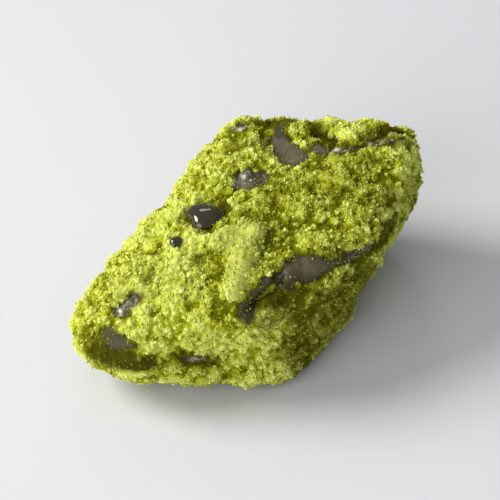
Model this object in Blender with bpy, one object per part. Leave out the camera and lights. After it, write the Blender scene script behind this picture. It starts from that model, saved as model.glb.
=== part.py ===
"""Warabi mochi: one piece of soft bracken-starch jelly, rolled in powdered green tea.

The jelly sets in a tray and is cut into blocks, so the piece starts as a straight block with its
edges rounded. The block is then carried onto five corners, because a soft piece slumps: its front
edge runs out to a blunt point, its left end is the thinnest, and its foot is smaller than its top.
Last comes the relief: hills and hollows in the jelly, the powder's lumps, and the shallow beds
where the powder has slipped and the jelly shows bare. The piece rests on a flat foot at z = 0.

Sizes are in millimetres, and the mesh is scaled to metres at the end. +X runs to the piece's right
end, +Y to its back and +Z up.
"""

import math

import bmesh
import bpy
from mathutils import Matrix, Vector, noise

MM = 0.001

# The straight block, before it slumps.
BLOCK = Vector((30.0, 23.0, 16.0))
# Its edges are rounded, and most of all towards the front left.
EDGE_RADIUS = 3.6
SOFT_RADIUS = 6.0
CELLS = (42, 35, 21)

# The four corners of the upper surface, as x, y and height, and of the foot, as x and y.
TOP = {
    "back_left": Vector((-1.2, 13.8, 17.0)),
    "back_right": Vector((17.2, 10.2, 16.2)),
    "front_right": Vector((12.6, -3.0, 14.4)),
    "front_left": Vector((-19.4, -11.6, 8.4)),
}
FOOT = {
    "back_left": Vector((-2.4, 12.8, 0.0)),
    "back_right": Vector((15.0, 9.2, 0.0)),
    "front_right": Vector((8.6, -1.2, 0.0)),
    "front_left": Vector((-16.2, -7.6, 0.0)),
}
# The fifth corner: how far the middle of the front edge stands out, and how blunt it is.
NOSE_TOP = Vector((3.4, -4.2, 2.0))
NOSE_FOOT = Vector((6.8, -7.4, 0.0))
NOSE_BLUNTNESS = 0.30
# The sides reach their full width at this share of the height.
BELLY = 0.7

# Hills and hollows of the jelly itself: the distance from one to the next, and their height.
SWELL_PITCH = 11.0
SWELL_HEIGHT = 0.9
# Lumps of powder.
LUMP_PITCH = 4.3
LUMP_HEIGHT = 0.95
FINE_PITCH = 2.3
FINE_HEIGHT = 0.36
# The relief fades out over this height above the foot, so that the foot stays flat.
FOOT_FADE = 2.4

# Beds where the powder is gone and the jelly shows. Each is a band along the surface, given by points
# on its middle: x, y, z and the half width there.
BEDS = {
    "long streak": [(0.3, -10.9, 11.9, 0.5), (1.7, -9.7, 13.0, 0.8), (3.7, -8.2, 13.9, 1.1),
                    (5.9, -7.2, 13.4, 1.4), (7.6, -6.4, 13.2, 0.9), (10.4, -4.1, 12.4, 0.7),
                    (12.1, -2.3, 12.1, 0.6)],
    "back patch": [(2.9, 9.6, 15.1, 0.7), (3.6, 7.6, 14.8, 1.3), (4.6, 5.6, 15.0, 1.7)],
    "back hollow": [(7.3, 8.4, 15.5, 0.9), (8.4, 7.6, 15.8, 0.9)],
    "back band": [(6.8, 6.3, 15.6, 0.9), (10.4, 6.2, 16.0, 0.6), (12.9, 7.4, 15.8, 0.9),
                  (15.1, 9.4, 14.5, 0.7)],
    "drop": [(-4.6, -0.7, 13.7, 1.5), (-3.8, -0.6, 13.8, 1.6)],
    "pitted patch": [(-0.8, 3.0, 14.7, 1.1), (1.3, 3.1, 14.7, 1.0)],
    "front left patch": [(-13.9, -11.1, 8.0, 1.5), (-12.4, -11.9, 8.2, 1.2)],
    "left fleck": [(-11.9, -9.7, 10.4, 0.7), (-11.1, -9.4, 10.6, 0.9)],
    "front fleck": [(-6.1, -12.1, 6.1, 0.5), (-4.1, -11.9, 5.9, 0.8)],
    "back face patch": [(5.1, 11.9, 9.0, 0.9), (8.3, 11.3, 6.6, 1.6)],
    "left face patch": [(-10.5, 0.8, 6.8, 1.4), (-13.5, -2.9, 6.4, 0.8)],
}
BED_DEPTH = 0.5
BED_EDGE = 1.5
# How far each point moves towards its neighbours at the end, which settles the steepest edges.
SETTLE = 0.4
# Points lower than this belong to the flat foot.
FLAT = 0.001

POWDER_GREEN = (0.50, 0.53, 0.055, 1.0)
POWDER_ROUGHNESS = 0.95


def clear_scene():
    """Start from an empty scene."""
    for item in list(bpy.data.objects):
        bpy.data.objects.remove(item, do_unlink=True)


def smooth_step(low, high, value):
    """0 below low, 1 above high, and an even S between."""
    share = min(1.0, max(0.0, (value - low) / (high - low)))
    return share * share * (3.0 - 2.0 * share)


def cut_block():
    """The straight block, as a closed box of small square cells."""
    block = bmesh.new()
    bmesh.ops.create_cube(block, size=1.0, matrix=Matrix.Diagonal(BLOCK.to_4d()))
    for axis, cells in enumerate(CELLS):
        along = [edge for edge in block.edges if edge_reach(edge, axis) > BLOCK[axis] / 2]
        bmesh.ops.subdivide_edges(block, edges=along, cuts=cells - 1, use_grid_fill=True)
    return block


def edge_reach(edge, axis):
    """How far an edge runs along one axis."""
    return abs(edge.verts[0].co[axis] - edge.verts[1].co[axis])


def rounded(point):
    """A point of the straight block, with the block's edges rounded."""
    along, deep, _ = shares(point)
    radius = EDGE_RADIUS + (SOFT_RADIUS - EDGE_RADIUS) * (1.0 - along) * (1.0 - 0.5 * deep)
    room = BLOCK / 2 - Vector((radius,) * 3)
    core = Vector([min(limit, max(-limit, value)) for limit, value in zip(room, point)])
    return core + (point - core).normalized() * radius


def shares(point):
    """How far along, deep and high in the block a point is, each from 0 to 1."""
    return [value / size + 0.5 for value, size in zip(point, BLOCK)]


def across(corners, nose, along, deep):
    """A place between four corners, drawn out at the front into the nose."""
    front = corners["front_left"].lerp(corners["front_right"], along)
    back = corners["back_left"].lerp(corners["back_right"], along)
    flank = math.hypot(1.0, NOSE_BLUNTNESS)
    ridge = flank - math.hypot(2.0 * along - 1.0, NOSE_BLUNTNESS)
    return front.lerp(back, deep) + nose * (1.0 - deep) * ridge / (flank - NOSE_BLUNTNESS)


def slumped(point):
    """A point of the rounded block, carried onto the slumped piece."""
    along, deep, high = shares(point)
    top = across(TOP, NOSE_TOP, along, deep)
    foot = across(FOOT, NOSE_FOOT, along, deep)
    width = math.sin(min(1.0, high / BELLY) * math.pi / 2)
    place = foot.lerp(top, width)
    place.z = top.z * high
    return place


def bed_depth(bed, place):
    """How deep a place lies inside a bed: 0 at the bed's edge, and below 0 outside."""
    depths = []
    for (*start, start_width), (*end, end_width) in zip(bed, bed[1:]):
        start, end = Vector(start), Vector(end)
        share = (place - start).dot(end - start) / (end - start).length_squared
        share = min(1.0, max(0.0, share))
        half_width = start_width + (end_width - start_width) * share
        depths.append(half_width - (place - start.lerp(end, share)).length)
    return max(depths)


def bed_cover(place):
    """How far a place lies inside the nearest bare bed, from 0 to 1."""
    depth = max(bed_depth(bed, place) for bed in BEDS.values())
    return smooth_step(-BED_EDGE / 2, BED_EDGE / 2, depth)


def dome(place):
    """Domed lumps about one unit apart: 1 on top of each, falling towards the creases."""
    nearest = noise.voronoi(place)[0][0]
    return 1.0 - nearest ** 2


def relief(place):
    """How far the surface stands out, or lies in, at a place."""
    swell = noise.noise(place / SWELL_PITCH) * SWELL_HEIGHT
    lumps = (dome(place / LUMP_PITCH) - 0.7) * LUMP_HEIGHT
    fine = noise.noise(place / FINE_PITCH) * FINE_HEIGHT
    bare = bed_cover(place)
    stand = swell + (lumps + fine) * (1.0 - bare) - BED_DEPTH * bare
    return stand * smooth_step(0.0, FOOT_FADE, place.z)


def shape(block):
    """Round, slump and roughen the block, then centre it over the origin."""
    for vert in block.verts:
        vert.co = slumped(rounded(vert.co))
    block.normal_update()
    moves = [vert.normal * relief(vert.co) for vert in block.verts]
    for vert, move in zip(block.verts, moves):
        vert.co += move
    above = [vert for vert in block.verts if vert.co.z > FLAT]
    bmesh.ops.smooth_vert(block, verts=above, factor=SETTLE,
                          use_axis_x=True, use_axis_y=True, use_axis_z=True)
    foot = min(vert.co.z for vert in block.verts)
    middle = [(min(values) + max(values)) / 2 for values in zip(*[vert.co.xy for vert in block.verts])]
    bmesh.ops.translate(block, verts=block.verts, vec=(-middle[0], -middle[1], -foot))


def join_foot(block):
    """Make the flat cells of the foot one face."""
    flat = [face for face in block.faces if all(vert.co.z < FLAT for vert in face.verts)]
    bmesh.ops.dissolve_faces(block, faces=flat, use_verts=True)


def powder_material():
    """Powdered green tea: matt, bright yellow-green."""
    powder = bpy.data.materials.new("green_tea_powder")
    powder.use_nodes = True
    shader = powder.node_tree.nodes["Principled BSDF"]
    shader.inputs["Base Color"].default_value = POWDER_GREEN
    shader.inputs["Roughness"].default_value = POWDER_ROUGHNESS
    shader.inputs["Metallic"].default_value = 0.0
    return powder


def build():
    """Make the piece, as one closed solid."""
    clear_scene()
    block = cut_block()
    shape(block)
    join_foot(block)
    bmesh.ops.scale(block, verts=block.verts, vec=(MM, MM, MM))
    bmesh.ops.recalc_face_normals(block, faces=block.faces)
    mesh = bpy.data.meshes.new("mochi")
    block.to_mesh(mesh)
    block.free()
    mesh.shade_smooth()
    mesh.materials.append(powder_material())
    bpy.context.scene.collection.objects.link(bpy.data.objects.new("mochi", mesh))


build()
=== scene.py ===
"""Warabi mochi: a soft block of starch jelly in a lumpy coat of powdered green tea.

Everything is laid on one skin, which is the solid's outside remade in small even cells. The jelly
and the powder coat are copies of the skin, each moved in or out along the skin's normals. The
crumbs and the drops then sit on those two.
"""

import math

import bmesh
import bpy
import numpy as np
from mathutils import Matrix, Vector, noise


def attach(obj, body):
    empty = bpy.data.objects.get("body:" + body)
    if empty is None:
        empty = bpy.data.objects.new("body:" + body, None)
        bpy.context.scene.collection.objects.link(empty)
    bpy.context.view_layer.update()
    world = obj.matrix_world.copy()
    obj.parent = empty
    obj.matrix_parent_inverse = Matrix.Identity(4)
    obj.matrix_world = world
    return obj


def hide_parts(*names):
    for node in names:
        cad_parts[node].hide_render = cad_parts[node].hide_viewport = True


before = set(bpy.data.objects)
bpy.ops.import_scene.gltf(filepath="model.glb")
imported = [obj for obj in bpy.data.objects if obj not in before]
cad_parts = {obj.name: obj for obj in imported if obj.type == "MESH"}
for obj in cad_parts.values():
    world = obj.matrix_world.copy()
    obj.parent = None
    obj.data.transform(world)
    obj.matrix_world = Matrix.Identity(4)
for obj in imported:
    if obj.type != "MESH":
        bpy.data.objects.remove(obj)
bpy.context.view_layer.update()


# The table, the light and the camera.
# The piece lies on a pale, nearly white table. A window close by on the left lights it, the room
# fills the shadows, and the camera looks down on the piece through a long lens.

# Sizes in this section are in metres.
TABLE_SIZE = 8.0
TABLE_GREY = (0.74, 0.74, 0.755, 1.0)
TABLE_ROUGHNESS = 0.8
TABLE_SHINE = 0.1
ROOM_GREY = (0.86, 0.90, 0.95, 1.0)
ROOM_STRENGTH = 0.23
# The room is brighter overhead than at the table's height, by this share.
ROOM_RISE = 0.53
# The soft round lights: watts, width, width of the beam in degrees, colour and place.
LIGHTS = {
    "window": (0.258, 0.22, 70.0, (1.0, 0.99, 0.97), (-0.30, 0.05, 0.25)),
    "front fill": (1.05, 0.64, 110.0, (0.98, 0.99, 1.0), (-0.34, -0.42, 0.22)),
    "back sheen": (0.065, 0.16, 110.0, (1.0, 1.0, 1.0), (-0.05, 0.45, 0.42)),
}
# The lights and the camera all face this point of the piece.
AIM = Vector((0.0001, 0.0, 0.0084))
CAMERA_ELEVATION = math.radians(46.0)
CAMERA_DISTANCE = 0.42
# The camera draws nothing that is nearer than this.
CAMERA_NEAREST = 0.01
# How wide a view the camera takes in at the piece.
FRAME_WIDTH = 0.0488


def face_piece(holder, place):
    """Put a light or the camera at a place, turned to the piece."""
    holder.location = place
    holder.rotation_euler = (AIM - holder.location).to_track_quat("-Z", "Y").to_euler()
    bpy.context.scene.collection.objects.link(holder)


def soft_light(name, watts, width, beam, colour, place):
    """A round soft light that faces the piece, with a beam so many degrees wide."""
    lamp = bpy.data.lights.new(name, "AREA")
    lamp.shape = "DISK"
    lamp.energy = watts
    lamp.size = width
    lamp.spread = math.radians(beam)
    lamp.color = colour
    face_piece(bpy.data.objects.new(name, lamp), place)


def feed(node, values):
    """Set a node's inputs, by name or number, each to a value or to another node's output."""
    for name, value in values.items():
        if isinstance(value, bpy.types.NodeSocket):
            node.id_data.links.new(value, node.inputs[name])
        else:
            node.inputs[name].default_value = value


def new_node(tree, kind, values=None, **settings):
    """Add a node to a tree, with its settings and with what feeds its inputs."""
    node = tree.nodes.new(kind)
    for name, setting in settings.items():
        setattr(node, name, setting)
    feed(node, values or {})
    return node


def weighted_sum(tree, start, *terms):
    """Nodes that add to a start so much of each value. A term is a weight and a value."""
    total = start
    for weight, value in terms:
        node = new_node(tree, "ShaderNodeMath", operation="MULTIPLY_ADD")
        feed(node, {0: value, 1: weight, 2: total})
        total = node.outputs["Value"]
    return total


def plain_material(name, colour, roughness):
    """A material with one Principled shader, and that shader."""
    material = bpy.data.materials.new(name)
    material.use_nodes = True
    shader = material.node_tree.nodes["Principled BSDF"]
    feed(shader, {"Base Color": colour, "Roughness": roughness})
    return material, shader


table_mesh = bmesh.new()
bmesh.ops.create_grid(table_mesh, x_segments=8, y_segments=8, size=TABLE_SIZE / 2)
table = bpy.data.objects.new("table", bpy.data.meshes.new("table"))
table_mesh.to_mesh(table.data)
table_mesh.free()
table_material, table_shader = plain_material("pale table", TABLE_GREY, TABLE_ROUGHNESS)
feed(table_shader, {"Specular IOR Level": TABLE_SHINE})
table.data.materials.append(table_material)
bpy.context.scene.collection.objects.link(table)

for name, settings in LIGHTS.items():
    soft_light(name, *settings)

room = bpy.data.worlds.new("room")
room.use_nodes = True
direction = new_node(room.node_tree, "ShaderNodeTexCoord").outputs["Generated"]
height = new_node(room.node_tree, "ShaderNodeSeparateXYZ", {"Vector": direction}).outputs["Z"]
brightness = weighted_sum(room.node_tree, ROOM_STRENGTH, (ROOM_STRENGTH * ROOM_RISE, height))
feed(room.node_tree.nodes["Background"], {"Color": ROOM_GREY, "Strength": brightness})
bpy.context.scene.world = room

camera = bpy.data.objects.new("camera", bpy.data.cameras.new("camera"))
camera.data.lens = camera.data.sensor_width * CAMERA_DISTANCE / FRAME_WIDTH
camera.data.clip_start = CAMERA_NEAREST
away = Vector((0.0, -math.cos(CAMERA_ELEVATION), math.sin(CAMERA_ELEVATION)))
face_piece(camera, AIM + CAMERA_DISTANCE * away)
bpy.context.scene.camera = camera
bpy.context.scene.view_settings.view_transform = "Standard"


# The jelly.
# Bracken starch, sugar and water, boiled, set and cut: dark, wet and nearly clear. The powder hides
# it except in the beds, where it has slipped off, and where the jelly lies nearly level with it.

# From here on sizes are in millimetres, and MM turns them into metres.
MM = 0.001
SKIN_CELL = 0.173 * MM
SKIN_SMOOTHING = 24
# Points of the solid that are closer than this are one point.
WELD = 0.001 * MM
# The relief fades out over this height above the foot, which stays flat.
FOOT_FADE = 1.2
# How deep the jelly lies under the skin where powder covers it, and how far it stands out in a bed.
JELLY_DEPTH = 0.45
BED_RISE = 0.40
# How deep inside a bed, below 0 outside it, the jelly starts and ends its rise.
RISE = (-1.3, 0.2)
# The jelly's own unevenness, as layers of soft noise: the distance from one rise to the next, the
# height, and a shift that makes the rises lie elsewhere than those of another noise.
WOBBLES = [(2.2, 0.14, 23.0), (0.7, 0.05, 23.0)]
# The noise that frays the edges of what is laid out by bands, in layers as above.
FRAY_LAYERS = [(1.7, 1.0, 3.0), (0.6, 0.6, 13.0), (0.3, 0.4, 19.0)]
# The beds' edges also wander: the distance from one bend to the next, and how far they go.
WANDER = [(2.6, 0.60), (0.9, 0.28)]
WANDER_SHIFTS = (0.0, 17.0, 41.0)
# Each bed is a band along the skin, given by points on its middle: x, y, z and half the width.
BEDS = {
    "streak's tail": [(0.1, -11.0, 11.9, 0.85), (1.9, -9.6, 13.1, 1.05), (3.7, -8.4, 13.9, 1.15)],
    "streak": [(4.0, -8.2, 13.9, 0.9), (5.6, -7.3, 13.5, 1.1), (7.4, -6.4, 13.2, 0.70),
               (8.7, -5.5, 12.9, 0.35), (10.1, -4.3, 12.6, 0.75), (11.3, -3.1, 12.3, 0.40),
               (12.2, -2.2, 12.1, 0.65)],
    "back patch": [(3.2, 9.7, 15.2, 0.45), (2.9, 8.0, 15.0, 0.90), (3.5, 6.5, 14.9, 1.45),
                   (4.7, 5.7, 15.1, 1.05), (5.9, 5.4, 15.3, 0.50)],
    "back band": [(6.7, 6.5, 15.4, 0.75), (8.9, 6.2, 15.7, 0.80), (10.6, 6.4, 15.8, 0.35),
                  (12.2, 7.0, 15.8, 0.60), (13.2, 7.1, 15.8, 0.35), (14.3, 7.1, 15.7, 0.55)],
    "drop": [(-4.6, -1.1, 13.7, 1.2), (-3.8, -1.1, 13.8, 1.2)],
    "pitted patch": [(0.0, 3.1, 14.7, 1.6), (0.9, 3.2, 14.7, 1.4)],
    "front left patch": [(-13.6, -11.1, 8.1, 0.4), (-12.6, -11.6, 8.3, 0.80),
                         (-11.4, -12.0, 8.0, 0.5)],
    "left fleck": [(-12.0, -9.7, 9.9, 0.75), (-10.9, -8.8, 10.8, 0.60)],
    "back left corner": [(-1.3, 9.3, 15.4, 0.45), (-0.5, 10.0, 15.3, 0.45)],
    "front fleck": [(-6.1, -12.1, 6.1, 0.3), (-4.6, -11.9, 5.9, 0.5)],
    "back face patch": [(4.4, 12.0, 9.6, 0.4), (6.2, 11.7, 8.2, 0.9), (8.8, 11.2, 6.8, 0.7)],
    "left face patch": [(-10.5, 0.8, 6.8, 1.2), (-13.5, -2.9, 6.4, 0.6)],
}
# Beds whose jelly is pitted, which breaks up their shine: how high the bumps are, and a band.
PITTED = {
    "pitted patch": (0.50, [(-1.2, 3.0, 14.7, 1.6), (0.6, 3.1, 14.7, 1.5)]),
    "left fleck": (0.50, [(-12.2, -9.8, 10.4, 1.2), (-10.9, -9.0, 10.6, 1.3)]),
    "back left corner": (0.50, [(-1.4, 9.0, 15.4, 1.0), (-0.5, 10.0, 15.3, 1.0)]),
    "back band": (0.40, [(9.6, 6.3, 15.8, 1.0), (14.3, 7.1, 15.7, 1.2)]),
    "front fleck": (0.50, [(-6.1, -12.1, 6.1, 0.8), (-4.6, -11.9, 5.9, 0.9)]),
    "front left patch": (0.20, [(-14.2, -11.0, 7.6, 1.4), (-11.4, -12.3, 7.6, 1.4)]),
    "streak's end": (0.50, [(9.8, -4.6, 12.6, 0.8), (12.1, -2.3, 12.1, 1.2)]),
}
# How a band's edge runs: the depths inside it at which what it lays out starts and is full, and how
# far the edge is frayed.
PITTED_EDGE = (-0.3, 0.5, 0.0)
PIT_PITCH = 1.0
# The bumps' domes are lowered by this, so that the creases between them are pits.
PIT_LOWERED = 0.75
# Places where the pitted jelly is painted nearly white: froth, and painted glints on the bumps'
# tops.
FROTH_AND_GLINT_PLACES = {
    "pitted patch": [(-1.4, 3.6, 14.6, 0.9), (-0.7, 3.6, 14.6, 0.8)],
    "left fleck": [(-12.2, -9.9, 10.0, 0.7), (-11.6, -9.5, 10.1, 0.6)],
    "back left corner": [(-1.4, 9.0, 15.4, 0.8), (-0.5, 10.0, 15.3, 0.8)],
    "back band": [(8.6, 6.1, 15.7, 0.4), (9.2, 6.1, 15.7, 0.4)],
    "back corner": [(11.9, 6.9, 15.8, 0.5), (12.5, 6.9, 15.8, 0.5)],
    "back corner's end": [(14.0, 7.1, 15.7, 0.3), (14.5, 7.1, 15.7, 0.3)],
    "front fleck": [(-5.4, -12.0, 6.0, 0.3), (-4.6, -11.9, 5.9, 0.4)],
}
FROTH_AND_GLINT_EDGE = (-0.3, 0.3, 0.4)
# The froth and painted glints lie on the bumps and not in the pits, and noise of this pitch breaks
# them up. They grow from none to full between two heights of the bumps, and between two values of
# the noise.
FROTH_AND_GLINT_ON_BUMPS = (-0.25, 0.15)
FROTH_AND_GLINT_PITCH = 0.5
FROTH_AND_GLINT_BROKEN = (-0.20, 0.10)
# How much of the stain the froth and painted glints hide.
FROTH_AND_GLINT_HIDES = 0.8
# Places where the jelly is stained dark olive by powder that has dissolved in it: how deeply, and a
# band.
STAINED = {
    "back patch": (0.35, [(2.9, 9.4, 15.1, 1.4), (4.5, 5.8, 15.0, 2.2)]),
    "streak's tail": (1.0, [(0.0, -11.0, 11.9, 1.1), (3.0, -8.9, 13.6, 1.1)]),
    "streak's end": (0.85, [(8.9, -5.2, 12.8, 0.7), (10.2, -4.2, 12.6, 0.7)]),
    "back patch's end": (0.95, [(2.6, 10.2, 15.2, 1.0), (3.3, 8.9, 15.1, 0.8)]),
    "back band": (0.95, [(10.0, 6.3, 15.8, 0.5), (11.5, 6.8, 15.9, 0.6)]),
    "back corner": (0.80, [(13.2, 7.0, 15.8, 0.7), (13.7, 7.1, 15.7, 0.4)]),
    "back band's start": (0.60, [(6.4, 6.6, 15.4, 0.5), (7.6, 6.5, 15.6, 0.5)]),
    "front left patch": (0.95, [(-14.2, -10.8, 8.0, 1.2), (-11.4, -12.3, 7.9, 1.3)]),
    "front fleck": (0.70, [(-6.6, -12.1, 6.2, 0.8), (-5.8, -12.0, 6.0, 0.4)]),
    "pitted patch": (0.90, [(0.9, 4.0, 14.8, 1.0), (1.7, 3.1, 14.8, 1.3)]),
    "back face patch": (0.85, [(4.4, 12.0, 9.6, 0.8), (6.0, 11.7, 8.2, 0.8)]),
    "left face patch": (0.85, [(-12.4, -1.8, 6.4, 1.0), (-13.9, -3.2, 6.4, 1.0)]),
}
STAINED_EDGE = (-0.6, 0.6, 0.5)
# Every bed is stained along its rim, down to clear jelly between these depths inside it.
RIM_STAIN = (-0.1, 0.75)
# Faint flecks of stain lie all over: how deep, their pitch, and the values of the noise between
# which a fleck grows from none to full.
FLECK_STAIN = 0.4
FLECK_PITCH = 0.9
FLECK_RISE = (0.0, 0.45)
# Places where the whole skin stands out, or lies in: how far, and a band.
PUSHED = {
    "streak's tail": (-0.75, [(0.4, -10.8, 12.1, 0.35), (3.0, -8.9, 13.7, 0.7)]),
    "back hollow": (-0.80, [(6.6, 8.6, 15.6, 0.8), (8.3, 7.5, 15.8, 0.9)]),
    "back corner": (-0.50, [(11.8, 7.8, 16.0, 0.3), (12.9, 8.3, 16.0, 0.5),
                            (14.5, 8.7, 15.4, 0.5)]),
    "back right corner": (0.70, [(15.9, 9.2, 14.0, 1.0), (16.3, 7.2, 14.2, 1.2)]),
    "right rim": (0.25, [(13.7, 2.4, 14.5, 1.5), (14.5, 6.4, 15.1, 1.5)]),
    "right edge": (0.45, [(14.0, 2.6, 14.6, 0.6), (14.7, 6.4, 15.3, 0.6)]),
    "right corner": (-0.25, [(12.8, -1.2, 12.0, 0.9), (14.6, 1.6, 12.3, 1.1)]),
    "pale lump": (0.80, [(-1.9, -4.6, 14.0, 1.1), (-0.1, -4.4, 14.2, 1.2),
                         (-0.6, -6.4, 13.8, 1.3)]),
    "pale lump's foot": (0.35, [(-0.6, -7.2, 13.6, 0.9), (-1.1, -9.6, 12.7, 0.6)]),
}
PUSHED_EDGE = (-0.45, 0.35, 0.35)

# The jelly's colours. The mean stands for them all where the nodes aren't read.
JELLY_MEAN = (0.12, 0.10, 0.06, 1.0)
JELLY_DARK = (0.098, 0.079, 0.038, 1.0)
JELLY_PALE = (0.186, 0.152, 0.085, 1.0)
# Froth and the painted glints on the bumps share this nearly white colour.
FROTH_AND_GLINT_COLOUR = (0.66, 0.62, 0.46, 1.0)
STAIN_COLOUR = (0.036, 0.032, 0.005, 1.0)
# Clouds inside the jelly: how many to the metre, how fine, and the values at which the jelly is
# dark and pale, and smooth and rough.
CLOUD_SCALE = 500.0
CLOUD_DETAIL = 4.0
DARK_AT, PALE_AT = 0.35, 0.68
SMOOTH_AT, ROUGH_AT = 0.3, 0.7
JELLY_MEAN_ROUGHNESS = 0.3
JELLY_ROUGHNESS = (0.22, 0.42)
FROTH_AND_GLINT_ROUGHNESS = 0.10
STAIN_ROUGHNESS = 0.60
# The film of water on the jelly: how much of it there is on clear and on stained jelly.
WATER_FILM = (0.35, 0.05)
WATER_ROUGHNESS = 0.12
JELLY_IOR = 1.42
# How cloudy the jelly is, and how far red, green and blue light goes in it.
JELLY_CLOUDINESS = 0.2
JELLY_LIGHT_REACH = 1.2 * MM
JELLY_LIGHT_SHARES = (1.0, 0.9, 0.4)
# Where a Mix node has its two inputs and its output, for numbers and for colours.
MIX_SOCKETS = {"FLOAT": (2, 3, 0), "RGBA": (6, 7, 2)}


def even_skin():
    """The solid's outside, remade as small even cells and smoothed so that no facet shows."""
    shape = bmesh.new()
    shape.from_mesh(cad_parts["mochi"].data)
    bmesh.ops.remove_doubles(shape, verts=shape.verts, dist=WELD)
    holder = bpy.data.objects.new("skin", bpy.data.meshes.new("skin"))
    shape.to_mesh(holder.data)
    shape.free()
    bpy.context.scene.collection.objects.link(holder)
    remesh = holder.modifiers.new("even cells", "REMESH")
    remesh.mode = "VOXEL"
    remesh.voxel_size = SKIN_CELL
    smooth = holder.modifiers.new("smooth", "SMOOTH")
    smooth.iterations = SKIN_SMOOTHING
    bpy.context.view_layer.update()
    graph = bpy.context.evaluated_depsgraph_get()
    even = bpy.data.meshes.new_from_object(holder.evaluated_get(graph))
    bpy.data.objects.remove(holder, do_unlink=True)
    even.shade_smooth()
    return even


def read_points(mesh):
    """A mesh's points in millimetres, and their normals."""
    points = np.empty(len(mesh.vertices) * 3, np.float32)
    normals = np.empty(len(mesh.vertices) * 3, np.float32)
    mesh.vertices.foreach_get("co", points)
    mesh.vertex_normals.foreach_get("vector", normals)
    return points.reshape(-1, 3) / MM, normals.reshape(-1, 3)


def write_points(mesh, points):
    """Put a mesh's points at new places, given in millimetres, none of them below the table."""
    points[:, 2] = np.maximum(points[:, 2], 0.0)
    mesh.vertices.foreach_set("co", (points * MM).astype(np.float32).ravel())
    mesh.update()


def set_mask(mesh, name, values):
    """Store one number at each of a mesh's points, for its material to read."""
    layer = mesh.attributes.new(name, "FLOAT", "POINT")
    layer.data.foreach_set("value", values.astype(np.float32))


def smooth_step(low, high, values):
    """0 below low, 1 above high, and an even S between."""
    share = np.clip((values - low) / (high - low), 0.0, 1.0)
    return share * share * (3.0 - 2.0 * share)


def ripple(points, pitch, shift):
    """Soft noise from -1 to 1 at each point. Another shift gives another noise."""
    scaled = points / pitch + shift
    return np.array([noise.noise(place) for place in scaled.tolist()], np.float32)


def ripples(points, layers):
    """Soft noise in layers, each given by its pitch, height and shift."""
    return sum(height * ripple(points, pitch, shift) for pitch, height, shift in layers)


def domes(points, pitch):
    """Domed lumps about one pitch apart: 1 on top of each, falling towards the creases."""
    scaled = points / pitch
    nearest = np.array([noise.voronoi(place)[0][0] for place in scaled.tolist()], np.float32)
    return 1.0 - nearest ** 2


def wandering(points, layers):
    """The points, each moved a little by soft noise, so that what they lay out is irregular."""
    moved = points.copy()
    for pitch, reach in layers:
        for axis, shift in enumerate(WANDER_SHIFTS):
            moved[:, axis] += ripple(points, pitch, shift) * reach
    return moved


def on_skin(place):
    """The point of the skin that lies nearest to a place."""
    return skin_points[np.argmin(np.linalg.norm(skin_points - place, axis=1))]


def band_depth(bands, points):
    """How deep each point lies inside the nearest band: 0 at its edge, and below 0 outside."""
    depths = []
    for band in bands:
        for (*start, start_width), (*end, end_width) in zip(band, band[1:]):
            start, end = on_skin(start), on_skin(end)
            run = end - start
            share = np.clip((points - start) @ run / (run @ run), 0.0, 1.0)
            gap = np.linalg.norm(points - start - share[:, None] * run, axis=1)
            depths.append(start_width + (end_width - start_width) * share - gap)
    return np.max(depths, axis=0)


def within(bands, points, start, full, fraying):
    """0 outside the bands and 1 inside, rising between two depths, with the edge frayed so far."""
    return smooth_step(start, full, band_depth(bands, points) + fraying * fray)


def new_piece(name, mesh, material):
    """Make a piece of a mesh, and say what it rides on and which finish it takes."""
    piece = bpy.data.objects.new(name, mesh)
    bpy.context.scene.collection.objects.link(piece)
    mesh.materials.append(material)
    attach(piece, "root")
    return piece


def mask_node(tree, name):
    """The mask of that name, as it is stored at the mesh's points."""
    return new_node(tree, "ShaderNodeAttribute", attribute_name=name).outputs["Fac"]


def noise_node(tree, scale, detail=2.0):
    """Soft noise from 0 to 1, laid out on the object's own coordinates."""
    place = new_node(tree, "ShaderNodeTexCoord").outputs["Object"]
    given = {"Vector": place, "Scale": scale, "Detail": detail}
    return new_node(tree, "ShaderNodeTexNoise", given).outputs["Fac"]


def mix_node(tree, kind, share, first, second):
    """A number or colour between two: the first at a share of 0, the second at 1."""
    first_input, second_input, output = MIX_SOCKETS[kind]
    given = {"Factor": share, first_input: first, second_input: second}
    return new_node(tree, "ShaderNodeMix", given, data_type=kind).outputs[output]


def range_node(tree, value, old, new):
    """A value carried from its old range to a new one, and kept inside that."""
    node = new_node(tree, "ShaderNodeMapRange", {"Value": value})
    feed(node, {"From Min": old[0], "From Max": old[1], "To Min": new[0], "To Max": new[1]})
    return node.outputs["Result"]


def ramp_node(tree, value, stops):
    """The colour that belongs to a value, from a list of values and the colour at each."""
    node = new_node(tree, "ShaderNodeValToRGB", {"Fac": value})
    elements = node.color_ramp.elements
    while len(elements) < len(stops):
        elements.new(1.0)
    for element, (position, colour) in zip(elements, stops):
        element.position = position
        element.color = colour
    return node.outputs["Color"]


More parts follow.
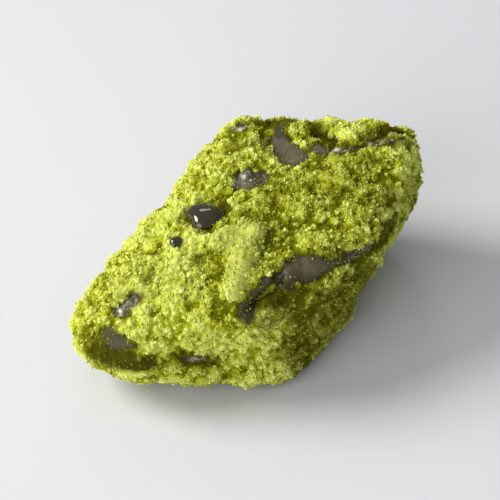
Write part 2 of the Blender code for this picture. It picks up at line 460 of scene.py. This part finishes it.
def jelly_material():
    """Wet jelly: brown-grey and glossy, nearly white where froth and painted glints lie, dull olive
    where stained.
    """
    material, shader = plain_material("wet starch jelly", JELLY_MEAN, JELLY_MEAN_ROUGHNESS)
    tree = material.node_tree
    froth_and_glint = mask_node(tree, "froth_and_glint")
    stain = mask_node(tree, "stain")
    cloud = noise_node(tree, CLOUD_SCALE, CLOUD_DETAIL)
    colour = ramp_node(tree, cloud, [(DARK_AT, JELLY_DARK), (PALE_AT, JELLY_PALE)])
    colour = mix_node(tree, "RGBA", froth_and_glint, colour, FROTH_AND_GLINT_COLOUR)
    colour = mix_node(tree, "RGBA", stain, colour, STAIN_COLOUR)
    roughness = range_node(tree, cloud, (SMOOTH_AT, ROUGH_AT), JELLY_ROUGHNESS)
    roughness = mix_node(tree, "FLOAT", froth_and_glint, roughness, FROTH_AND_GLINT_ROUGHNESS)
    roughness = mix_node(tree, "FLOAT", stain, roughness, STAIN_ROUGHNESS)
    feed(shader, {
        "Base Color": colour,
        "Roughness": roughness,
        "IOR": JELLY_IOR,
        "Coat Weight": range_node(tree, stain, (0.0, 1.0), WATER_FILM),
        "Coat Roughness": WATER_ROUGHNESS,
        "Subsurface Weight": JELLY_CLOUDINESS,
        "Subsurface Radius": JELLY_LIGHT_SHARES,
        "Subsurface Scale": JELLY_LIGHT_REACH,
    })
    return material


skin = even_skin()
skin_points, skin_normals = read_points(skin)
fray = ripples(skin_points, FRAY_LAYERS)
push = sum(reach * within([band], skin_points, *PUSHED_EDGE) for reach, band in PUSHED.values())
write_points(skin, skin_points + skin_normals * push[:, None])
skin_points, skin_normals = read_points(skin)

above_foot = smooth_step(0.0, FOOT_FADE, skin_points[:, 2])
bed_points = wandering(skin_points, WANDER)
bed_inside = band_depth(BEDS.values(), bed_points)
bumps = domes(skin_points, PIT_PITCH) - PIT_LOWERED
bump_height = sum(height * within([band], skin_points, *PITTED_EDGE)
                  for height, band in PITTED.values())
jelly_move = (BED_RISE + JELLY_DEPTH) * smooth_step(*RISE, bed_inside) - JELLY_DEPTH
jelly_move += ripples(skin_points, WOBBLES)
jelly_move += bumps * bump_height
jelly_move *= above_foot

stained = 1.0 - smooth_step(*RIM_STAIN, bed_inside)
for strength, band in STAINED.values():
    stained = np.maximum(stained, strength * within([band], skin_points, *STAINED_EDGE))
flecks = smooth_step(*FLECK_RISE, ripple(skin_points, FLECK_PITCH, shift=51.0))
stained = np.maximum(stained, FLECK_STAIN * flecks)
broken = smooth_step(*FROTH_AND_GLINT_BROKEN, ripple(skin_points, FROTH_AND_GLINT_PITCH, shift=31.0))
froth_and_glint = within(FROTH_AND_GLINT_PLACES.values(), skin_points, *FROTH_AND_GLINT_EDGE)
froth_and_glint *= smooth_step(*FROTH_AND_GLINT_ON_BUMPS, bumps) * broken
stained *= 1.0 - FROTH_AND_GLINT_HIDES * froth_and_glint

jelly_mesh = skin.copy()
write_points(jelly_mesh, skin_points + skin_normals * jelly_move[:, None])
set_mask(jelly_mesh, "stain", stained)
set_mask(jelly_mesh, "froth_and_glint", froth_and_glint)
new_piece("jelly", jelly_mesh, jelly_material())


# The powder coat.
# Finely ground green tea that clings to the wet jelly and cakes into lumps. It is about one
# millimetre thick, thins out to a ragged edge round each bed, and is darker and flatter where damp
# and where shade is painted into it.

# The caked lumps, in layers: the distance from one to the next, and their height. They wander as
# the beds' edges do.
LUMP_LAYERS = [(4.6, 0.36), (1.45, 0.36), (0.65, 0.30)]
LUMP_WANDER = [(1.3, 0.38), (0.5, 0.16)]
# The grit on the lumps, in layers of soft noise as for the jelly.
GRIT_LAYERS = [(0.95, 0.22, 7.0), (0.38, 0.16, 7.0)]
# All the lumps stand up from the skin, so the whole coat is lowered by this much.
COAT_LOWERED = 0.33
# How deep inside a bed, below 0 outside it, the coat starts to follow the jelly and does so fully.
FOLLOWS_JELLY = (-1.2, -0.3)
# There it thins out by so much for each millimetre towards the bed, with its lumps on it at this
# share of their height, and goes no deeper than this under the jelly.
EDGE_SLOPE = 0.75
EDGE_LUMPS = 0.75
DEEPEST = -0.6
# The jelly shows where the powder is thinner than the first, and is hidden from the second on.
HIDING_THICKNESS = (-0.05, 0.12)
# Places where the powder is dark olive: damp in some, and painted shade in others, such as the side
# face, the right of the top, below the streak, the streak's tail, under and right of the drop, the
# back corner and the left end. How dark, and a band as for the beds.
DAMP_AND_SHADE = {
    "side face": (0.57, [(5.4, -8.3, 5.5, 3.6), (10.5, -3.5, 6.0, 4.2)]),
    "below the streak": (0.70, [(6.8, -7.2, 10.4, 1.2), (10.8, -3.8, 10.0, 1.3)]),
    "under the drop": (0.60, [(-5.0, -2.9, 13.7, 0.5), (-3.6, -3.1, 13.8, 0.5)]),
    "right of the drop": (0.95, [(-2.0, -1.0, 13.9, 0.5), (-2.5, 0.5, 14.0, 0.5)]),
    "behind the pitted patch": (0.35, [(-1.4, 6.6, 15.0, 0.9), (0.9, 7.4, 15.1, 0.9)]),
    "right corner": (0.85, [(12.8, -1.2, 12.0, 1.0), (14.4, 1.2, 12.0, 0.9)]),
    "right of the top": (0.21, [(3.0, 0.8, 15.0, 3.0), (11.0, 2.5, 15.2, 3.6)]),
    "behind the lump": (0.26, [(-1.0, -1.8, 14.2, 1.0), (3.6, -4.0, 14.4, 1.8)]),
    "streak's tail": (1.0, [(0.2, -11.2, 11.6, 0.9), (2.8, -9.9, 11.9, 0.9)]),
    "below the tail": (0.55, [(1.5, -11.3, 10.6, 1.5), (4.4, -9.6, 11.4, 1.6)]),
    "along the streak": (0.8, [(7.6, -6.3, 13.2, 0.8), (11.6, -2.8, 12.2, 1.0)]),
    "behind the patch": (0.95, [(1.2, 9.9, 15.2, 0.8), (3.3, 10.1, 15.3, 0.9)]),
    "beside the patch": (0.75, [(1.6, 9.0, 15.1, 0.5), (1.8, 6.0, 14.9, 0.5)]),
    "back hollow": (1.0, [(6.4, 8.8, 15.6, 1.0), (8.4, 7.6, 15.8, 1.1)]),
    "back corner": (1.0, [(11.7, 7.8, 16.0, 0.55), (12.9, 8.3, 16.0, 0.75),
                          (14.5, 8.8, 15.4, 0.6)]),
    "back left corner": (0.6, [(-1.4, 9.0, 15.4, 0.4), (-0.6, 9.9, 15.3, 0.5)]),
    "left end": (1.0, [(-14.3, -11.2, 6.6, 1.1), (-13.0, -12.1, 6.9, 1.6),
                       (-10.0, -13.0, 6.6, 1.1)]),
    "front": (0.85, [(-6.6, -12.1, 6.2, 1.0), (-3.6, -11.9, 5.8, 1.2)]),
    "back face": (0.6, [(4.0, 11.9, 6.0, 2.6), (10.5, 11.2, 5.0, 2.6)]),
    "left face": (0.5, [(-9.0, 2.0, 5.0, 2.6), (-14.0, -5.0, 4.5, 2.4)]),
}
# The edge of each such place is as soft as this share of its half width, up to a limit in
# millimetres. It frays by so many times its softness, and wanders too.
DAMP_AND_SHADE_SOFTNESS = 0.55
DAMP_AND_SHADE_SOFTEST = 0.9
DAMP_AND_SHADE_FRAYING = 1.2
DAMP_AND_SHADE_WANDER = [(3.4, 0.55), (1.3, 0.35)]
# The foot is damp, down to dry powder between these heights, which fray by so much.
FOOT_DAMP = 0.5
FOOT_DAMP_HEIGHTS = (0.3, 3.2)
FOOT_FRAYING = 1.5
# Every bed has a damp rim, broken into patches: how damp, the depths between which it grows from
# none to full, the patches' pitch, and the values of the noise between which a patch grows.
RIM_DAMP = 0.8
RIM_DAMP_EDGE = (-0.7, 0.0)
RIM_PATCH_PITCH = 1.9
RIM_PATCH_RISE = (-0.25, 0.15)
# How much of their height the lumps lose where the powder is damp, where shade is painted, and
# where it was pressed.
DAMP_AND_SHADE_FLATTENS = 0.45
PRESSED_FLATTENS = 0.45
# Places where the powder was pressed smooth and pale: how strongly, and a band.
PRESSED = {
    "pale lump": (1.0, [(-1.9, -4.6, 14.0, 1.2), (-0.1, -4.4, 14.2, 1.3), (-0.6, -6.4, 13.8, 1.4)]),
    "pale lump's foot": (1.0, [(-0.6, -7.2, 13.6, 1.0), (-1.1, -9.6, 12.7, 0.7)]),
    "back lump": (1.0, [(6.6, 11.9, 11.6, 1.4), (9.6, 11.6, 10.8, 1.0)]),
    "left of the top": (0.35, [(-11.3, -7.2, 11.0, 2.2), (-6.3, -7.8, 12.8, 2.5)]),
}
PRESSED_EDGE = (-0.3, 0.4, 0.4)
# Pressed powder stands out by this, and its brightness goes so far towards that of one lift.
PRESSED_RISE = 0.20
PRESSED_EVENS = 0.6
PRESSED_LIFT = 0.66
# Places where light is painted into the powder's colour, making it brighter: how much brighter, and
# a band.
PAINTED_LIGHT = {
    "front bulge": (0.24, [(-9.0, -11.2, 9.8, 1.8), (-6.0, -11.6, 9.2, 2.2),
                           (2.2, -11.2, 6.8, 2.8)]),
    "left rim": (0.30, [(-10.0, -3.2, 11.9, 1.2), (-8.4, -1.6, 12.5, 1.2)]),
    "behind the drop": (0.35, [(-4.6, 1.9, 14.0, 1.0), (-2.9, 2.9, 14.5, 1.1)]),
    "right rim": (0.26, [(14.2, 3.3, 14.7, 1.0), (14.8, 5.9, 15.2, 1.0)]),
    "back right corner": (0.26, [(15.6, 8.0, 14.6, 1.0), (16.2, 9.4, 13.6, 1.2)]),
    "back rim": (0.36, [(3.8, 11.4, 14.8, 0.8), (10.0, 10.4, 15.4, 0.9)]),
    "back left rim": (0.36, [(-2.8, 10.2, 14.6, 0.9), (-0.6, 11.8, 14.6, 0.9)]),
    "between the hollows": (0.15, [(9.6, 9.0, 15.8, 0.8), (10.4, 8.4, 15.9, 0.7)]),
    "around the lump": (0.12, [(-4.4, -5.0, 13.8, 1.4), (-1.1, -9.6, 12.7, 0.9),
                               (-0.4, -7.2, 13.6, 0.8)]),
}
PAINTED_LIGHT_EDGE = (-1.5, 1.0, 1.2)
# The powder's brightness also drifts from place to place: over what distance, and how much.
TONE_PITCH = 3.0
TONE = 0.16
# The lumps run from dark to bright between these percentiles of their heights, by this much:
# painted shade in the creases and painted highlight on the tips.
LUMP_PERCENTILES = (3, 97)
LIFT_SHARE = 0.75

# The powder's colours: dark as painted shade in the creases, between, bright as a painted highlight
# on the tips, where pressed, and dark olive where damp and where shade is painted. The mean stands
# for them all where the nodes aren't read.
POWDER_MEAN = (0.4, 0.43, 0.05, 1.0)
CREASE_SHADE_COLOUR = (0.155, 0.16, 0.004, 1.0)
BETWEEN_COLOUR = (0.47, 0.50, 0.024, 1.0)
TIP_HIGHLIGHT_COLOUR = (0.76, 0.82, 0.18, 1.0)
PRESSED_COLOUR = (0.45, 0.47, 0.15, 1.0)
DAMP_AND_SHADE_COLOUR = (0.068, 0.062, 0.002, 1.0)
CREASE_AT, BETWEEN_AT, TIP_AT = 0.18, 0.5, 0.82
# Fine speckles and broader patches vary the height that the colour is read at, and damp and painted
# shade lower it: how many to the metre, and how much of each.
SPECKLE_SCALE = 1800.0
SPECKLE_SHARE = 0.52
PATCH_SCALE = 260.0
PATCH_SHARE = 0.5
DAMP_AND_SHADE_LOWERS = 0.25
# Both are about a half on average, which is taken off again.
SPECKLE_AND_PATCH_MEAN = 0.51
PRESSED_PALES = 0.45
POWDER_MEAN_ROUGHNESS = 0.9
POWDER_ROUGHNESS = (0.95, 0.45)
POWDER_SHINE = 0.02
# How cloudy the powder is, and how far red, green and blue light goes in it.
POWDER_CLOUDINESS = 0.35
POWDER_LIGHT_REACH = 0.6 * MM
POWDER_LIGHT_SHARES = (0.8, 0.8, 0.2)
# The finest grain, as bumps: how many to the metre, how strong and how high.
COAT_GRAIN_SCALE = 5000.0
GRAIN_STRENGTH = 0.6
GRAIN_HEIGHT = 0.1 * MM


def powder_colour_group():
    """The powder's colour and roughness: painted shade in creases, painted highlight on tips, olive
    for damp and painted shade.
    """
    tree = bpy.data.node_groups.new("powder colour", "ShaderNodeTree")
    for name in ("Height", "Damp_and_shade", "Pressed"):
        tree.interface.new_socket(name, in_out="INPUT", socket_type="NodeSocketFloat")
    tree.interface.new_socket("Color", in_out="OUTPUT", socket_type="NodeSocketColor")
    tree.interface.new_socket("Roughness", in_out="OUTPUT", socket_type="NodeSocketFloat")
    given = new_node(tree, "NodeGroupInput").outputs
    level = weighted_sum(tree, given["Height"],
                         (SPECKLE_SHARE, noise_node(tree, SPECKLE_SCALE)),
                         (PATCH_SHARE, noise_node(tree, PATCH_SCALE)),
                         (-DAMP_AND_SHADE_LOWERS, given["Damp_and_shade"]),
                         (-1.0, SPECKLE_AND_PATCH_MEAN))
    stops = [(CREASE_AT, CREASE_SHADE_COLOUR), (BETWEEN_AT, BETWEEN_COLOUR), (TIP_AT, TIP_HIGHLIGHT_COLOUR)]
    colour = ramp_node(tree, level, stops)
    pale = weighted_sum(tree, 0.0, (PRESSED_PALES, given["Pressed"]))
    colour = mix_node(tree, "RGBA", pale, colour, PRESSED_COLOUR)
    colour = mix_node(tree, "RGBA", given["Damp_and_shade"], colour, DAMP_AND_SHADE_COLOUR)
    roughness = range_node(tree, given["Damp_and_shade"], (0.0, 1.0), POWDER_ROUGHNESS)
    new_node(tree, "NodeGroupOutput", {"Color": colour, "Roughness": roughness})
    return tree


def powder_material(name, grain_scale):
    """Matt powder whose colour follows its mesh's masks: height, which paints shade in the creases
    and highlights on the tips, damp with painted shade, and pressed.
    """
    material, shader = plain_material(name, POWDER_MEAN, POWDER_MEAN_ROUGHNESS)
    tree = material.node_tree
    powder = new_node(tree, "ShaderNodeGroup", node_tree=powder_colour)
    for mask in ("Height", "Damp_and_shade", "Pressed"):
        feed(powder, {mask: mask_node(tree, mask.lower())})
    grain = noise_node(tree, grain_scale)
    bump = new_node(tree, "ShaderNodeBump")
    feed(bump, {"Height": grain, "Strength": GRAIN_STRENGTH, "Distance": GRAIN_HEIGHT})
    feed(shader, {
        "Base Color": powder.outputs["Color"],
        "Roughness": powder.outputs["Roughness"],
        "Normal": bump.outputs["Normal"],
        "Specular IOR Level": POWDER_SHINE,
        "Subsurface Weight": POWDER_CLOUDINESS,
        "Subsurface Radius": POWDER_LIGHT_SHARES,
        "Subsurface Scale": POWDER_LIGHT_REACH,
    })
    return material


lump_points = wandering(skin_points, LUMP_WANDER)
lumps = sum(height * domes(lump_points, pitch) for pitch, height in LUMP_LAYERS)
lumps += ripples(skin_points, GRIT_LAYERS)
middle = lumps.mean()

pressed = np.zeros(len(skin_points))
for strength, band in PRESSED.values():
    pressed = np.maximum(pressed, strength * within([band], bed_points, *PRESSED_EDGE))

foot_height = skin_points[:, 2] + FOOT_FRAYING * fray
damp_and_shade = FOOT_DAMP * (1.0 - smooth_step(*FOOT_DAMP_HEIGHTS, foot_height))
damp_and_shade_points = wandering(skin_points, DAMP_AND_SHADE_WANDER)
for dampness_and_shade, band in DAMP_AND_SHADE.values():
    softness = min(DAMP_AND_SHADE_SOFTEST, DAMP_AND_SHADE_SOFTNESS * band[0][-1])
    reached = within([band], damp_and_shade_points, -softness, softness, DAMP_AND_SHADE_FRAYING * softness)
    damp_and_shade = np.maximum(damp_and_shade, dampness_and_shade * reached)
patches = smooth_step(*RIM_PATCH_RISE, ripple(skin_points, RIM_PATCH_PITCH, shift=9.0))
damp_and_shade = np.maximum(damp_and_shade, RIM_DAMP * smooth_step(*RIM_DAMP_EDGE, bed_inside) * patches)

# Away from the beds the coat lies on the skin. Near a bed it lies on the jelly at some thickness,
# and where that is below 0 the jelly shows.
relief = (lumps - middle) * (1.0 - DAMP_AND_SHADE_FLATTENS * damp_and_shade) * (1.0 - PRESSED_FLATTENS * pressed)
powder_level = relief + middle - COAT_LOWERED
powder_level += PRESSED_RISE * pressed
thickness = np.maximum(EDGE_LUMPS * (lumps - middle) - EDGE_SLOPE * bed_inside, DEEPEST)
near_bed = smooth_step(*FOLLOWS_JELLY, bed_inside)
coat_move = (1.0 - near_bed) * powder_level + near_bed * (jelly_move + thickness)
bare = near_bed * (1.0 - smooth_step(*HIDING_THICKNESS, thickness))
jelly_shows = bare > 0.5
coat_move *= np.where(jelly_shows, 1.0, above_foot)
coat_mesh = skin.copy()
write_points(coat_mesh, skin_points + skin_normals * coat_move[:, None])

# The lift is how high on the lumps a point lies, from 0 in the creases to 1 on the tips. As colour
# it is painted shade in the creases and a painted highlight on the tips. The tone makes whole
# places brighter or darker, and the painted-light bands brighten places as painted light.
low, high = np.percentile(lumps, LUMP_PERCENTILES)
lift = np.clip((lumps - low) / (high - low), 0.0, 1.0)
lift += PRESSED_EVENS * (PRESSED_LIFT - lift) * pressed
tone = TONE * ripple(skin_points, TONE_PITCH, shift=5.0)
for gain, band in PAINTED_LIGHT.values():
    tone += gain * within([band], skin_points, *PAINTED_LIGHT_EDGE)
set_mask(coat_mesh, "height", np.clip(LIFT_SHARE * lift + tone, 0.0, 1.0))
set_mask(coat_mesh, "damp_and_shade", damp_and_shade)
set_mask(coat_mesh, "pressed", pressed)

powder_colour = powder_colour_group()
coat_material = powder_material("caked green tea powder", COAT_GRAIN_SCALE)
coat = new_piece("powder_coat", coat_mesh, coat_material)
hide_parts("mochi")


# The crumbs.
# The powder clumps as it takes up damp, so loose crumbs cling to the coat: clods of about half a
# millimetre, crumbs of half that, grains and dust. They lie thickest where the powder is neither
# damp nor darkened by painted shade.

SEED = 11
# For each kind: the spacing, the least and greatest radius, the sides and rings of the ball that it
# is made from, how deep it is sunk in the coat as a share of its width, and how many of the places
# hold one.
CRUMB_KINDS = {
    "powder_clods": {"spacing": 0.95, "radius": (0.18, 0.36), "sides": 8, "rings": 6,
                     "sink": 0.5, "keep": 0.5},
    "powder_crumbs": {"spacing": 0.43, "radius": (0.09, 0.21), "sides": 5, "rings": 3,
                      "sink": 0.40, "keep": 0.95},
    "powder_grains": {"spacing": 0.27, "radius": (0.06, 0.12), "sides": 4, "rings": 2,
                      "sink": 0.15, "keep": 0.9},
    "powder_dust": {"spacing": 0.22, "radius": (0.04, 0.07), "sides": 3, "rings": 2,
                    "sink": 0.0, "keep": 0.9},
}
SHAPES_OF_A_KIND = 12
CRUMB_GRAIN_SCALE = 6000.0
# How lumpy a crumb is: how many broad and how many fine lumps there are to the unit, how high both
# are, and how far each point is moved at random besides.
BROAD_LUMPS, BROAD_HEIGHT = 1.2, 0.60
FINE_LUMPS, FINE_HEIGHT = 3.0, 0.35
CRUMB_GRIT = 0.18
# Each crumb takes its lumps from another stretch of the noise, within this span.
NOISE_SPAN = 50.0
# A crumb is stretched or squeezed along each of its own axes by a factor between these.
STRETCH = (0.6, 1.25)
# Crumbs on damp and painted-shaded powder are smaller by up to this share, and their dampness and
# painted shade vary by a factor between these.
DAMP_AND_SHADE_SHRINKS = 0.35
DAMP_AND_SHADE_VARIES = (0.8, 1.1)
# No crumb's middle lies closer to the table than so many times its radius.
TABLE_CLEARANCE = 1.5
# A crumb's brightness: its start, how far it follows the coat's, which carries over the coat's
# painted shade in the creases, painted highlights on the tips and painted light, and how uneven it
# is. Where the powder was pressed it is less uneven, by the last share.
CRUMB_START = 0.3
CRUMB_FOLLOWS = 0.6
CRUMB_UNEVENNESS = 0.20
PRESSING_EVENS = 0.7
# Crumbs are fewer where the powder is damp or has painted shade, and where it is pressed, by these
# shares.
DAMP_AND_SHADE_THINS = 0.4
PRESSED_THINS = 0.5
# There are none below the first height above the table, and all of them above the second.
CRUMB_HEIGHTS = (0.15, 0.6)
# In the creases only this share of them is left, which grows to all of them between these lifts.
CREASE_CRUMBS = 0.35
CREASE_LIFTS = (0.35, 0.62)


def crumb_shapes(kind, rng):
    """Lumpy crumbs about one unit in radius: the points of each, and the triangles they share."""
    ball = bmesh.new()
    bmesh.ops.create_uvsphere(ball, u_segments=kind["sides"], v_segments=kind["rings"], radius=1.0)
    bmesh.ops.triangulate(ball, faces=ball.faces)
    ball.verts.index_update()
    triangles = np.array([[vert.index for vert in face.verts] for face in ball.faces])
    shapes = []
    for _ in range(SHAPES_OF_A_KIND):
        start = Vector(rng.uniform(-NOISE_SPAN, NOISE_SPAN, 3))
        points = []
        for vert in ball.verts:
            broad = BROAD_HEIGHT * noise.noise(vert.co * BROAD_LUMPS + start)
            fine = FINE_HEIGHT * noise.noise(vert.co * FINE_LUMPS + start)
            points.append(vert.co * (1.0 + broad + fine + rng.uniform(-CRUMB_GRIT, CRUMB_GRIT)))
        shapes.append(points)
    ball.free()
    return np.array(shapes), triangles


def any_turn(rng, count):
    """Rotation matrices spread evenly over every way round, made from random quaternions."""
    quaternions = rng.normal(size=(count, 4))
    w, x, y, z = (quaternions / np.linalg.norm(quaternions, axis=1, keepdims=True)).T
    rows = [[1 - 2 * (y * y + z * z), 2 * (x * y - z * w), 2 * (x * z + y * w)],
            [2 * (x * y + z * w), 1 - 2 * (x * x + z * z), 2 * (y * z - x * w)],
            [2 * (x * z - y * w), 2 * (y * z + x * w), 1 - 2 * (x * x + y * y)]]
    return np.array(rows).transpose(2, 0, 1)


def one_per_cell(points, spacing, rng):
    """Pick points so that each small cube of space holds at most one."""
    order = rng.permutation(len(points))
    cells = np.floor(points[order] / spacing + rng.uniform(0.0, 1.0, 3)).astype(int)
    first = np.unique(cells, axis=0, return_index=True)[1]
    return order[np.sort(first)]


def joined(name, points, triangles, masks):
    """One mesh of many crumbs, from the points and masks of each and the triangles they share."""
    count, points_each = points.shape[:2]
    first_points = np.arange(count) * points_each
    faces = triangles + first_points[:, None, None]
    mesh = bpy.data.meshes.new(name)
    mesh.from_pydata(points.reshape(-1, 3) * MM, [], faces.reshape(-1, 3))
    for mask, values in masks.items():
        set_mask(mesh, mask, np.repeat(values, points_each))
    return mesh


def scatter(name, kind, ground, rng):
    """Strew crumbs of one kind over a ground.

    The ground gives for each of its points the place, the way it faces, the chance that it holds a
    crumb, and how bright, damp and pressed the powder is.
    """
    chosen = one_per_cell(ground["place"], kind["spacing"], rng)
    chosen = chosen[rng.uniform(size=len(chosen)) < kind["keep"] * ground["chance"][chosen]]
    here = {what: values[chosen] for what, values in ground.items()}
    count = len(chosen)
    shapes, triangles = crumb_shapes(kind, rng)
    picked = rng.integers(len(shapes), size=count)
    radius = rng.uniform(*kind["radius"], size=count) * (1.0 - DAMP_AND_SHADE_SHRINKS * here["damp_and_shade"])
    middles = here["place"] + here["facing"] * (radius * (1.0 - 2.0 * kind["sink"]))[:, None]
    middles[:, 2] = np.maximum(middles[:, 2], radius * TABLE_CLEARANCE)
    turns = any_turn(rng, count) * rng.uniform(*STRETCH, (count, 1, 3))
    unevenness = rng.normal(0.0, CRUMB_UNEVENNESS, count)
    unevenness *= 1.0 - PRESSING_EVENS * here["pressed"]
    height = np.clip(CRUMB_START + CRUMB_FOLLOWS * here["bright"] + unevenness, 0.0, 1.0)
    crumb_damp_and_shade = np.minimum(1.0, here["damp_and_shade"] * rng.uniform(*DAMP_AND_SHADE_VARIES, count))
    turned = np.einsum("nij,npj->npi", turns, shapes[picked])
    points = turned * radius[:, None, None] + middles[:, None]
    masks = {"height": height, "damp_and_shade": crumb_damp_and_shade, "pressed": here["pressed"]}
    new_piece(name, joined(name, points, triangles, masks), crumb_material)


crumb_material = powder_material("loose green tea crumbs", CRUMB_GRAIN_SCALE)
rng = np.random.default_rng(SEED)
coat_points, coat_normals = read_points(coat_mesh)
chance = (1.0 - bare) * smooth_step(*CRUMB_HEIGHTS, coat_points[:, 2])
chance *= (1.0 - DAMP_AND_SHADE_THINS * damp_and_shade) * (1.0 - PRESSED_THINS * pressed)
chance *= CREASE_CRUMBS + (1.0 - CREASE_CRUMBS) * smooth_step(*CREASE_LIFTS, lift)
coat_ground = {
    "place": coat_points,
    "facing": coat_normals,
    "chance": chance,
    # The coat's lift and tone, with its painted shade, painted highlights and painted light.
    "bright": lift + tone,
    "damp_and_shade": damp_and_shade,
    "pressed": pressed,
}
for name, kind in CRUMB_KINDS.items():
    scatter(name, kind, coat_ground, rng)


# The specks on the jelly.
# A few grains of powder stay stuck to the bare jelly, most of them near a bed's edge and where the
# jelly is stained. They are wetter and darker than the crumbs on the coat.

SPECKS = {"spacing": 0.28, "radius": (0.04, 0.12), "sides": 5, "rings": 3,
          "sink": 0.3, "keep": 1.0}
SPECK_BRIGHTNESS = 0.35
SPECK_DAMPNESS = 0.45
# The chance of a speck anywhere in a bed, and how much more it is on stained jelly and at the bed's
# edge. The edge's part fades out between two depths inside the bed, which fray by so much.
SPECK_CHANCE = 0.03
STAINED_SPECKS = 0.30
EDGE_SPECKS = 0.35
EDGE_SPECK_DEPTHS = (0.0, 0.6)
SPECK_FRAYING = 0.6
# There are no specks below the first height above the table, and all of them above the second.
SPECK_HEIGHTS = (0.2, 0.8)

jelly_points, jelly_normals = read_points(jelly_mesh)
near_edge = 1.0 - smooth_step(*EDGE_SPECK_DEPTHS, bed_inside + SPECK_FRAYING * fray)
chance = SPECK_CHANCE + STAINED_SPECKS * stained + EDGE_SPECKS * near_edge
chance *= jelly_shows * smooth_step(*SPECK_HEIGHTS, jelly_points[:, 2])
jelly_ground = {
    "place": jelly_points,
    "facing": jelly_normals,
    "chance": chance,
    "bright": np.full(len(jelly_points), SPECK_BRIGHTNESS),
    "damp_and_shade": np.full(len(jelly_points), SPECK_DAMPNESS),
    "pressed": np.zeros(len(jelly_points)),
}
scatter("powder_specks", SPECKS, jelly_ground, rng)


# The drops.
# Syrup weeps from the jelly and beads up: one large dark drop on top, a small one in front of it,
# and tiny clear beads on some of the bare patches. Each lies on the surface and partly in it.

# Each drop is given by its middle, and its reach in x, y and z.
SYRUP_DROPS = [
    ((-4.1, -0.95, 13.9), (1.92, 1.85, 1.20)),
    ((-7.0, -4.2, 13.8), (0.66, 0.66, 0.58)),
]
SYRUP_COLOUR = (0.034, 0.026, 0.006, 1.0)
# Where the clear beads lie, as bands, how far apart, their least and greatest reach, and how flat.
BEADED = {
    "pitted patch": [(-1.2, 3.4, 14.7, 0.8), (-0.5, 3.5, 14.7, 0.7)],
    "back left corner": [(-1.3, 9.3, 15.4, 0.4), (-0.5, 10.0, 15.3, 0.4)],
    "left fleck": [(-11.9, -9.7, 10.4, 0.3), (-11.1, -9.4, 10.6, 0.4)],
    "streak's tail": [(3.0, -8.8, 13.6, 0.2), (3.3, -8.6, 13.9, 0.2)],
    "back corner": [(12.4, 6.9, 15.8, 0.5), (13.8, 7.0, 15.7, 0.5)],
    "front fleck": [(-5.6, -12.0, 6.0, 0.3), (-4.8, -11.9, 5.9, 0.3)],
}
BEAD_SPACING = 0.80
BEAD_REACH = (0.09, 0.22)
BEAD_FLATNESS = (1.0, 1.0, 0.7)
BEAD_COLOUR = (0.26, 0.23, 0.15, 1.0)
# A drop isn't quite round: how many bulges there are to the unit, and how high they are.
BULGES, BULGE_HEIGHT = 1.1, 0.20
DROP_ROUGHNESS = 0.05
DROP_IOR = 1.4
DROP_FILM = 1.0
DROP_FILM_ROUGHNESS = 0.02


def drops(name, given, colour):
    """Glossy drops of one colour, as one joined mesh."""
    shapes = bmesh.new()
    for drop_middle, reach in given:
        made = bmesh.ops.create_icosphere(shapes, subdivisions=4, radius=1.0)["verts"]
        for vert in made:
            bulge = noise.noise(vert.co * BULGES + Vector(drop_middle))
            vert.co *= 1.0 + BULGE_HEIGHT * bulge
        bmesh.ops.scale(shapes, verts=made, vec=[size * MM for size in reach])
        bmesh.ops.translate(shapes, verts=made, vec=[value * MM for value in drop_middle])
    mesh = bpy.data.meshes.new(name)
    shapes.to_mesh(mesh)
    shapes.free()
    mesh.shade_smooth()
    material, shader = plain_material(name, colour, DROP_ROUGHNESS)
    feed(shader, {
        "IOR": DROP_IOR,
        "Coat Weight": DROP_FILM,
        "Coat Roughness": DROP_FILM_ROUGHNESS,
    })
    new_piece(name, mesh, material)


beaded = np.flatnonzero((band_depth(BEADED.values(), skin_points) > 0.0) & jelly_shows)
beads = []
for number in beaded[one_per_cell(skin_points[beaded], BEAD_SPACING, rng)]:
    reach = rng.uniform(*BEAD_REACH, 3) * BEAD_FLATNESS
    beads.append((jelly_points[number].tolist(), reach.tolist()))
drops("syrup_drops", SYRUP_DROPS, SYRUP_COLOUR)
drops("clear_beads", beads, BEAD_COLOUR)
